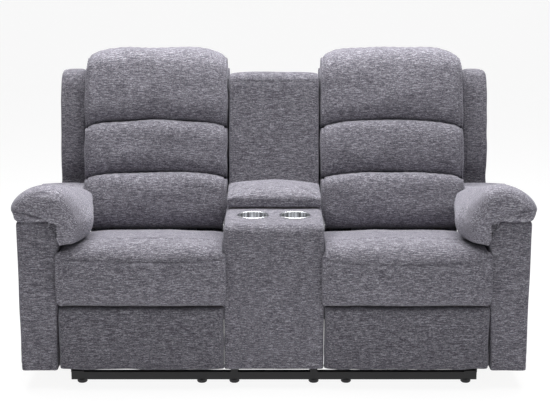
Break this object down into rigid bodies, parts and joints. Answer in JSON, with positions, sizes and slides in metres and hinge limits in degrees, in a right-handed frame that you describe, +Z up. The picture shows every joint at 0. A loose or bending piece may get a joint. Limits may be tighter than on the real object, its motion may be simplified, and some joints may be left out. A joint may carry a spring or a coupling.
{
  "type": "power reclining sofa",
  "caption": "Reclining loveseat with a console, cup holders, padded arms, power footrests and backs that tip as the seats slide forward.",
  "frame": {"origin": "on the floor, below the middle of the sofa's box at rest", "axes": "+X to the right as seen from the front, +Y from the front to the rear, +Z up"},
  "size_m": [1.704, 0.9497, 1.0735],
  "materials": {
    "fabric": "matte",
    "black_steel": "satin",
    "zinc_steel": "satin",
    "timber": "matte",
    "black_plastic": "matte",
    "nylon": "satin",
    "cup_chrome": "polished",
    "button_face": "satin"
  },
  "bodies": {
    "base": {"base_frame": "black_steel", "slide_rails": "zinc_steel", "glides_and_end_caps": "black_plastic", "rear_skirts": "fabric", "arm_frames": "timber", "left_arm_cover": "fabric", "right_arm_cover": "fabric", "left_arm_pad": "fabric", "right_arm_pad": "fabric", "console_cover": "fabric", "console_bin": "black_plastic", "cup_holders": "cup_chrome", "console_back": "fabric", "lid_hinge": "zinc_steel", "switch_plates": "black_plastic", "power_inlet": "black_plastic", "left_actuator": "black_steel", "right_actuator": "black_steel"},
    "lid": {"lid_board": "timber", "console_lid": "fabric"},
    "left_carriage": {"left_seat_chassis": "black_steel", "left_glide_blocks": "nylon", "left_seat_frame": "timber", "left_seat_springs": "zinc_steel", "left_seat_cushion": "fabric", "left_drive_slider": "black_plastic"},
    "right_carriage": {"right_seat_chassis": "black_steel", "right_glide_blocks": "nylon", "right_seat_frame": "timber", "right_seat_springs": "zinc_steel", "right_seat_cushion": "fabric", "right_drive_slider": "black_plastic"},
    "left_back": {"left_back_frame": "black_steel", "left_lower_pillow": "fabric", "left_middle_pillow": "fabric", "left_head_pillow": "fabric", "left_back_cover": "fabric"},
    "right_back": {"right_back_frame": "black_steel", "right_lower_pillow": "fabric", "right_middle_pillow": "fabric", "right_head_pillow": "fabric", "right_back_cover": "fabric"},
    "left_lift_pair": {"left_lift_arms": "zinc_steel"},
    "right_lift_pair": {"right_lift_arms": "zinc_steel"},
    "left_guide_pair": {"left_guide_arms": "zinc_steel"},
    "right_guide_pair": {"right_guide_arms": "zinc_steel"},
    "left_ottoman_pair": {"left_ottoman_links": "zinc_steel"},
    "right_ottoman_pair": {"right_ottoman_links": "zinc_steel"},
    "left_stay_pair": {"left_stay_links": "zinc_steel"},
    "right_stay_pair": {"right_stay_links": "zinc_steel"},
    "left_footrest": {"left_footrest_brackets": "zinc_steel", "left_footrest_board": "timber", "left_footrest_pad": "fabric"},
    "right_footrest": {"right_footrest_brackets": "zinc_steel", "right_footrest_board": "timber", "right_footrest_pad": "fabric"},
    "left_recline_switch": {"left_recline_button": "button_face"},
    "left_return_switch": {"left_return_button": "button_face"},
    "right_recline_switch": {"right_recline_button": "button_face"},
    "right_return_switch": {"right_return_button": "button_face"}
  },
  "joints": [
    {"name": "lid_hinge_turn", "type": "hinge", "parent": "base", "child": "lid", "pos_m": [0, 0.067, 0.585], "axis": [-1, 0, 0], "range_deg": [0, 95]},
    {"name": "left_seat_slide", "type": "slide", "parent": "base", "child": "left_carriage", "axis": [0, -1, 0], "range_m": [0, 0.08]},
    {"name": "left_recline", "type": "hinge", "parent": "left_carriage", "child": "left_back", "pos_m": [-0.446, 0.165, 0.33], "axis": [-1, 0, 0], "range_deg": [0, 35]},
    {"name": "left_lift_turn", "type": "hinge", "parent": "left_carriage", "child": "left_lift_pair", "pos_m": [-0.446, -0.33, 0.262], "axis": [-1, 0, 0], "range_deg": [0, 119.94]},
    {"name": "left_guide_turn", "type": "hinge", "parent": "left_carriage", "child": "left_guide_pair", "pos_m": [-0.446, -0.29381, 0.23697], "axis": [-1, 0, 0], "range_deg": [0, 119.94]},
    {"name": "left_ottoman_turn", "type": "hinge", "parent": "left_lift_pair", "child": "left_ottoman_pair", "pos_m": [-0.446, -0.23197, 0.09924], "axis": [-1, 0, 0], "range_deg": [-119.94, 0]},
    {"name": "left_stay_turn", "type": "hinge", "parent": "left_guide_pair", "child": "left_stay_pair", "pos_m": [-0.446, -0.2061, 0.09134], "axis": [-1, 0, 0], "range_deg": [-118.59, 0]},
    {"name": "left_footrest_turn", "type": "hinge", "parent": "left_ottoman_pair", "child": "left_footrest", "pos_m": [-0.446, -0.382, 0.203], "axis": [-1, 0, 0], "range_deg": [0, 90.01]},
    {"name": "left_recline_press", "type": "slide", "parent": "base", "child": "left_recline_switch", "axis": [1, 0, 0], "range_m": [0, 0.0025], "stiffness_N_per_m": 500, "springref_m": -0.001},
    {"name": "left_return_press", "type": "slide", "parent": "base", "child": "left_return_switch", "axis": [1, 0, 0], "range_m": [0, 0.0025], "stiffness_N_per_m": 500, "springref_m": -0.001},
    {"name": "right_seat_slide", "type": "slide", "parent": "base", "child": "right_carriage", "axis": [0, -1, 0], "range_m": [0, 0.08]},
    {"name": "right_recline", "type": "hinge", "parent": "right_carriage", "child": "right_back", "pos_m": [0.446, 0.165, 0.33], "axis": [-1, 0, 0], "range_deg": [0, 35]},
    {"name": "right_lift_turn", "type": "hinge", "parent": "right_carriage", "child": "right_lift_pair", "pos_m": [0.446, -0.33, 0.262], "axis": [-1, 0, 0], "range_deg": [0, 119.94]},
    {"name": "right_guide_turn", "type": "hinge", "parent": "right_carriage", "child": "right_guide_pair", "pos_m": [0.446, -0.29381, 0.23697], "axis": [-1, 0, 0], "range_deg": [0, 119.94]},
    {"name": "right_ottoman_turn", "type": "hinge", "parent": "right_lift_pair", "child": "right_ottoman_pair", "pos_m": [0.446, -0.23197, 0.09924], "axis": [-1, 0, 0], "range_deg": [-119.94, 0]},
    {"name": "right_stay_turn", "type": "hinge", "parent": "right_guide_pair", "child": "right_stay_pair", "pos_m": [0.446, -0.2061, 0.09134], "axis": [-1, 0, 0], "range_deg": [-118.59, 0]},
    {"name": "right_footrest_turn", "type": "hinge", "parent": "right_ottoman_pair", "child": "right_footrest", "pos_m": [0.446, -0.382, 0.203], "axis": [-1, 0, 0], "range_deg": [0, 90.01]},
    {"name": "right_recline_press", "type": "slide", "parent": "base", "child": "right_recline_switch", "axis": [-1, 0, 0], "range_m": [0, 0.0025], "stiffness_N_per_m": 500, "springref_m": -0.001},
    {"name": "right_return_press", "type": "slide", "parent": "base", "child": "right_return_switch", "axis": [-1, 0, 0], "range_m": [0, 0.0025], "stiffness_N_per_m": 500, "springref_m": -0.001}
  ],
  "couplings": [
    {"joint": "left_seat_slide", "follows": "left_recline", "m_per_rad": 0.13096},
    {"joint": "left_lift_turn", "follows": "left_recline", "ratio": 3.4266},
    {"joint": "left_guide_turn", "follows": "left_recline", "ratio": 3.4266},
    {"joint": "left_ottoman_turn", "follows": "left_recline", "ratio": -3.4266},
    {"joint": "left_stay_turn", "follows": "left_recline", "ratio": -3.388},
    {"joint": "left_footrest_turn", "follows": "left_recline", "ratio": 2.5714},
    {"joint": "right_seat_slide", "follows": "right_recline", "m_per_rad": 0.13096},
    {"joint": "right_lift_turn", "follows": "right_recline", "ratio": 3.4266},
    {"joint": "right_guide_turn", "follows": "right_recline", "ratio": 3.4266},
    {"joint": "right_ottoman_turn", "follows": "right_recline", "ratio": -3.4266},
    {"joint": "right_stay_turn", "follows": "right_recline", "ratio": -3.388},
    {"joint": "right_footrest_turn", "follows": "right_recline", "ratio": 2.5714}
  ]
}
